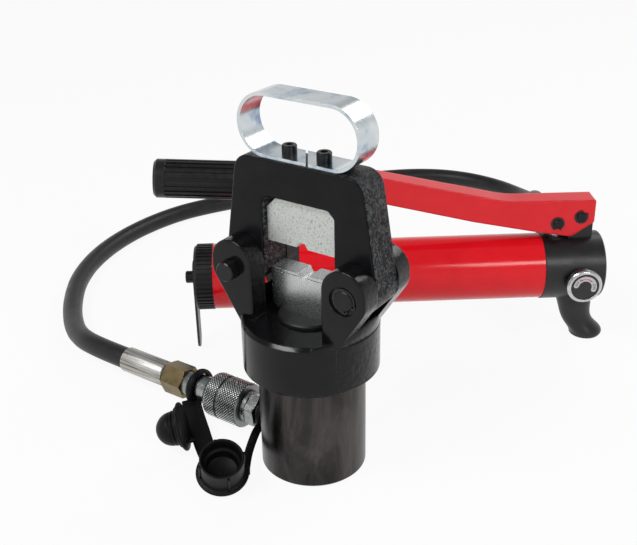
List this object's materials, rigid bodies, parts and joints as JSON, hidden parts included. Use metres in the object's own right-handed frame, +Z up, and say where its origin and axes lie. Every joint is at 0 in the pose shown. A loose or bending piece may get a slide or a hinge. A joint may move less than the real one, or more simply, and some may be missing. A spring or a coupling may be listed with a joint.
{
  "type": "hydraulic crimping tool",
  "caption": "Flip-top hydraulic crimping head with die set and carry handle, joined by hose and screw coupler to a hand pump with lever and release knob.",
  "frame": {"origin": "centre of the flat bottom of the head's cylinder barrel, on the surface everything stands on", "axes": "+X from the barrel's axis towards the gate's hinge pin, +Y towards the back, +Z up along the ram"},
  "size_m": [0.6641, 0.8248, 0.3527],
  "materials": {
    "black_gloss": "gloss black enamel over cast and machined steel",
    "dark_steel": "blackened, blotchy turned steel",
    "zinc": "bright zinc plate",
    "die_zinc": "zinc phosphate, fine speckle",
    "yellow_zinc": "yellow zinc plate over steel",
    "black_oxide": "black oxide, satin",
    "ground_steel": "ground and polished",
    "spring_steel": "oiled spring steel",
    "seal": "polyurethane",
    "rubber": "matte moulded rubber",
    "hose_cover": "satin synthetic rubber cover",
    "red_gloss": "gloss red enamel",
    "black_satin": "satin black enamel",
    "cap_black": "matte moulded cap",
    "grip_black": "satin moulded grip",
    "dial": "black dial face with a pale arc"
  },
  "bodies": {
    "base": {"cylinder_barrel": "dark_steel", "clevis_collar": "black_gloss", "rod_wiper": "seal", "return_spring": "spring_steel", "hinge_pin": "black_oxide", "hinge_circlips": "spring_steel", "coupler_nipple": "zinc", "coupler_body": "zinc", "head_hose_nut": "yellow_zinc", "head_ferrule": "zinc", "nipple_dust_cap": "rubber", "coupler_dust_plug": "rubber", "hose": "hose_cover", "stand_plate": "black_satin", "reservoir_cap": "cap_black", "tie_bolt": "black_oxide", "reservoir_tube": "red_gloss", "pump_block": "black_satin", "pump_foot": "black_satin", "foot_screw": "black_oxide", "plunger_gland": "black_oxide", "plunger_seal": "seal", "fulcrum_pin": "black_oxide", "fulcrum_clips": "spring_steel", "release_ball": "ground_steel", "inlet_ball": "ground_steel", "outlet_adapter": "zinc", "pump_hose_nut": "yellow_zinc", "pump_ferrule": "zinc"},
    "ram": {"ram_piston": "ground_steel", "piston_seal": "seal", "lower_die": "die_zinc", "lower_die_pin": "ground_steel"},
    "gate": {"yoke_frame": "black_gloss", "upper_die": "die_zinc", "upper_die_pin": "ground_steel", "carry_handle": "zinc", "handle_screws": "black_oxide"},
    "front_lock": {"lock_pin_front": "black_oxide"},
    "back_lock": {"lock_pin_back": "black_oxide"},
    "sleeve": {"coupler_sleeve": "zinc"},
    "lever": {"pump_lever": "red_gloss", "lever_grip": "grip_black", "link_pin": "black_oxide", "link_clips": "spring_steel"},
    "plunger": {"plunger": "ground_steel"},
    "release": {"release_knob": "zinc", "release_dial": "dial", "release_stem": "ground_steel"}
  },
  "joints": [
    {"name": "ram_slide", "type": "slide", "parent": "base", "child": "ram", "axis": [0, 0, 1], "range_m": [0, 0.0247], "stiffness_N_per_m": 2000, "springref_m": -0.02, "deforming": ["return_spring"]},
    {"name": "gate_swing", "type": "hinge", "parent": "base", "child": "gate", "pos_m": [0.058, 0, 0.1975], "axis": [0, 1, 0], "range_deg": [0, 120]},
    {"name": "front_lock_slide", "type": "slide", "parent": "base", "child": "front_lock", "axis": [0, 1, 0], "range_m": [0, 0.0097]},
    {"name": "back_lock_slide", "type": "slide", "parent": "base", "child": "back_lock", "axis": [0, -1, 0], "range_m": [0, 0.0097]},
    {"name": "sleeve_spin", "type": "hinge", "parent": "base", "child": "sleeve", "pos_m": [-0.1, 0, 0.0275], "axis": [-1, 0, 0], "continuous": true},
    {"name": "lever_stroke", "type": "hinge", "parent": "base", "child": "lever", "pos_m": [0.10874, 0.35401, 0.1488], "axis": [-0.6018, 0.7986, 0], "range_deg": [0, 42]},
    {"name": "plunger_slide", "type": "slide", "parent": "base", "child": "plunger", "axis": [0, 0, 1], "range_m": [0, 0.0187]},
    {"name": "release_turn", "type": "hinge", "parent": "base", "child": "release", "pos_m": [0.1359, 0.31813, 0.0826], "axis": [0.6018, -0.7986, 0], "range_deg": [0, 180]}
  ],
  "couplings": [
    {"joint": "plunger_slide", "follows": "lever_stroke", "m_per_rad": 0.0254}
  ]
}
